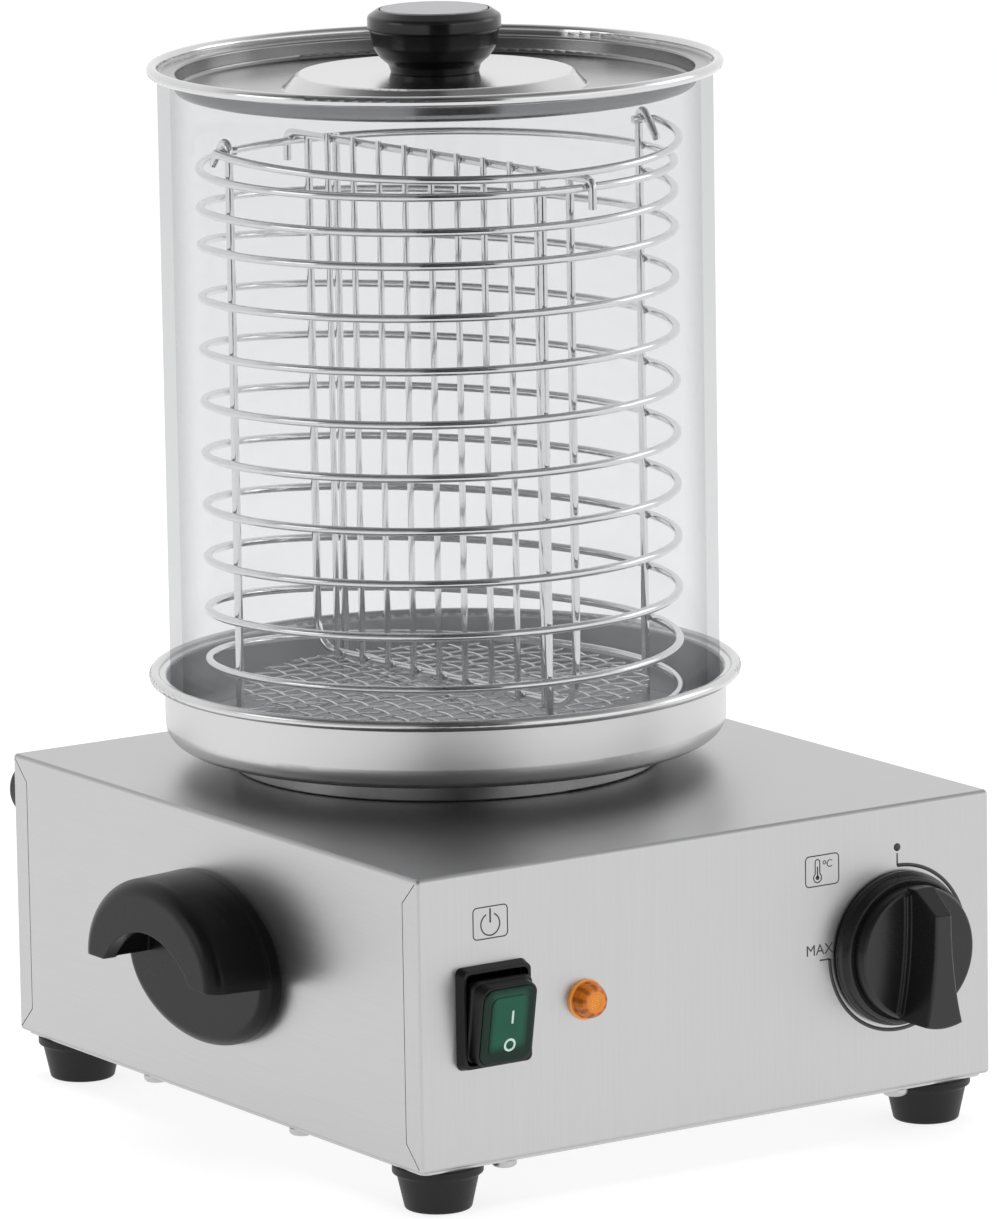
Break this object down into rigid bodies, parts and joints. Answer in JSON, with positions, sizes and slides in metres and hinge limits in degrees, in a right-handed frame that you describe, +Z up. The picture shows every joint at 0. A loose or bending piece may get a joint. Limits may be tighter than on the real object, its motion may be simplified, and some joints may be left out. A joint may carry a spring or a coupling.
{
  "type": "hot dog steamer",
  "caption": "Countertop electric hot dog steamer: a folded steel heater base carries a water pan, a glass cylinder with a wire basket and divider inside, and a pressed lid with a knob.",
  "frame": {"origin": "on the standing surface, at the middle of the overall box", "axes": "+Z up, -Y towards the control panel, +X to the right as seen from the front"},
  "size_m": [0.298, 0.31, 0.396],
  "materials": {
    "housing_steel": "brushed satin stainless steel",
    "plain_steel": "plain steel fasteners and inner sheet",
    "pan_steel": "bright pressed stainless steel",
    "wire_steel": "bright welded stainless wire",
    "lid_steel": "polished pressed stainless steel",
    "clear_glass": "clear heat-resistant glass",
    "black_plastic": "satin black moulded plastic",
    "gloss_black": "glossy black moulded plastic",
    "knob_inlay": "satin inlay disc",
    "green_lens": "translucent green plastic",
    "amber_lens": "translucent amber plastic",
    "rubber_black": "moulded black rubber",
    "rubber_grey": "moulded dark grey rubber",
    "cast_aluminium": "cast aluminium",
    "brass": "plain brass",
    "ceramic_fibre": "pressed ceramic fibre"
  },
  "bodies": {
    "base": {"base_plate": "housing_steel", "base_screws": "plain_steel", "bumper_screws": "plain_steel", "cord_gland": "black_plastic", "earth_stud": "brass", "element_terminals": "plain_steel", "foot_front_left": "rubber_black", "foot_front_right": "rubber_black", "foot_nuts": "plain_steel", "foot_rear_left": "rubber_black", "foot_rear_right": "rubber_black", "foot_screws": "plain_steel", "gland_nut": "black_plastic", "handle_left": "black_plastic", "handle_right": "black_plastic", "handle_screws": "plain_steel", "heat_plate": "cast_aluminium", "heat_shield": "plain_steel", "heating_element": "plain_steel", "housing_shell": "housing_steel", "insulation_pad": "ceramic_fibre", "lamp_body": "black_plastic", "lamp_lens": "amber_lens", "lamp_nut": "black_plastic", "overheat_cutout": "black_plastic", "plate_stud": "plain_steel", "rear_bumper_left": "rubber_grey", "rear_bumper_right": "rubber_grey", "sensor_bulb": "plain_steel", "stud_nut": "plain_steel", "stud_spacer": "plain_steel", "support_collar": "pan_steel", "switch_housing": "black_plastic", "switch_terminals": "brass", "terminal_block": "black_plastic", "thermostat_body": "black_plastic", "thermostat_screws": "plain_steel", "water_pan": "pan_steel"},
    "glass": {"glass_cylinder": "clear_glass"},
    "basket": {"basket_rings": "wire_steel", "basket_uprights": "wire_steel", "basket_cross_wires": "wire_steel", "basket_mesh": "wire_steel", "divider_frame": "wire_steel", "divider_wires": "wire_steel"},
    "bail": {"basket_bail": "wire_steel"},
    "lid": {"lid_plate": "lid_steel", "lid_knob": "gloss_black", "lid_knob_cap": "knob_inlay", "lid_knob_washer": "plain_steel", "lid_knob_screw": "plain_steel"},
    "dial": {"thermostat_knob": "black_plastic", "thermostat_shaft": "plain_steel"},
    "rocker": {"power_rocker": "black_plastic", "power_button": "green_lens"}
  },
  "joints": [
    {"name": "glass_lift", "type": "slide", "parent": "base", "child": "glass", "axis": [0, 0, 1], "range_m": [0, 0.27]},
    {"name": "basket_lift", "type": "slide", "parent": "glass", "child": "basket", "axis": [0, 0, 1], "range_m": [0, 0.26]},
    {"name": "lid_lift", "type": "slide", "parent": "basket", "child": "lid", "axis": [0, 0, 1], "range_m": [0, 0.12]},
    {"name": "bail_swing", "type": "hinge", "parent": "basket", "child": "bail", "pos_m": [0, 0.0395, 0.3498], "axis": [-0.9882, 0.153, 0], "range_deg": [0, 93]},
    {"name": "dial_turn", "type": "hinge", "parent": "base", "child": "dial", "pos_m": [0.0814, -0.127, 0.069], "axis": [0, 1, 0], "range_deg": [0, 270]},
    {"name": "rocker_tilt", "type": "hinge", "parent": "base", "child": "rocker", "pos_m": [-0.0922, -0.128, 0.0698], "axis": [-1, 0, 0], "range_deg": [0, 20]}
  ],
  "couplings": [
    {"joint": "bail_swing", "follows": "lid_lift", "rad_per_m": 13.381}
  ]
}
